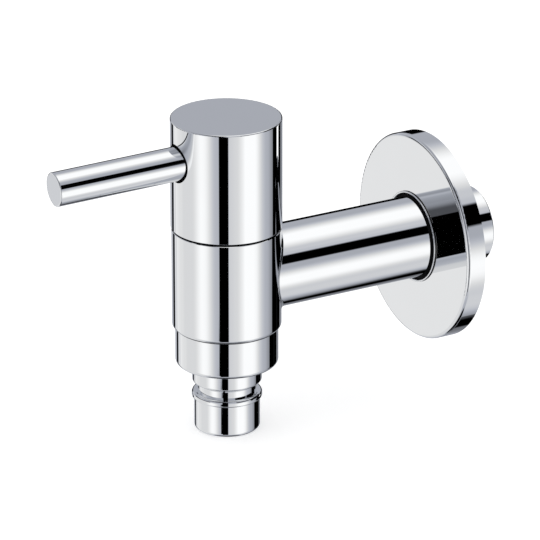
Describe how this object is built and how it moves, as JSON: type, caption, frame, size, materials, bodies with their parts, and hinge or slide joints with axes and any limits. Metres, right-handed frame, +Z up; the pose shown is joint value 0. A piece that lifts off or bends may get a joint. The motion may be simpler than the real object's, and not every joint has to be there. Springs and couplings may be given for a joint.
{
  "type": "wall-mounted tap",
  "caption": "Round chromed wall tap with a side lever on its cap, a sliding wall rosette and a grooved nozzle for a push-fit hose connector.",
  "frame": {"origin": "on the inlet axis in the plane of the finished wall, where the rosette's back rim rests", "axes": "+Y along the inlet axis into the wall, +Z up along the barrel's axis, +X to the right of someone who faces the wall"},
  "size_m": [0.068, 0.1532, 0.1055],
  "materials": {
    "chrome_plate": "polished chrome on brass",
    "bare_brass": "machined",
    "stainless": "plain",
    "ceramic_disc": "lapped",
    "black_rubber": "matt",
    "white_plastic": "moulded",
    "dark_plastic": "moulded"
  },
  "bodies": {
    "tap_body": {"valve_body": "chrome_plate", "inlet_arm": "chrome_plate", "inlet_tail": "chrome_plate", "outlet_collar": "chrome_plate", "hose_nozzle": "chrome_plate", "cartridge_body": "bare_brass", "inlet_strainer": "stainless", "fixed_disc": "ceramic_disc", "tail_seal": "black_rubber", "inlet_washer": "black_rubber", "collar_seal": "black_rubber", "nozzle_seal": "black_rubber", "cartridge_seal": "black_rubber", "seat_ring": "black_rubber", "flow_straightener": "white_plastic", "handle_guide": "dark_plastic"},
    "handle": {"handle_cap": "chrome_plate", "lever_rod": "chrome_plate", "lever_stud": "stainless", "lever_ring": "black_rubber", "spline_adapter": "white_plastic", "spindle": "bare_brass", "lower_spindle_ring": "black_rubber", "upper_spindle_ring": "black_rubber", "spindle_clip": "stainless", "moving_disc": "ceramic_disc"},
    "rosette": {"wall_rosette": "chrome_plate", "rosette_ring": "black_rubber"}
  },
  "joints": [
    {"name": "handle_turn", "type": "hinge", "parent": "tap_body", "child": "handle", "pos_m": [0, -0.076, 0], "axis": [0, 0, 1], "range_deg": [0, 90]},
    {"name": "rosette_slide", "type": "slide", "parent": "tap_body", "child": "rosette", "axis": [0, 1, 0], "range_m": [-0.045, 0]}
  ]
}
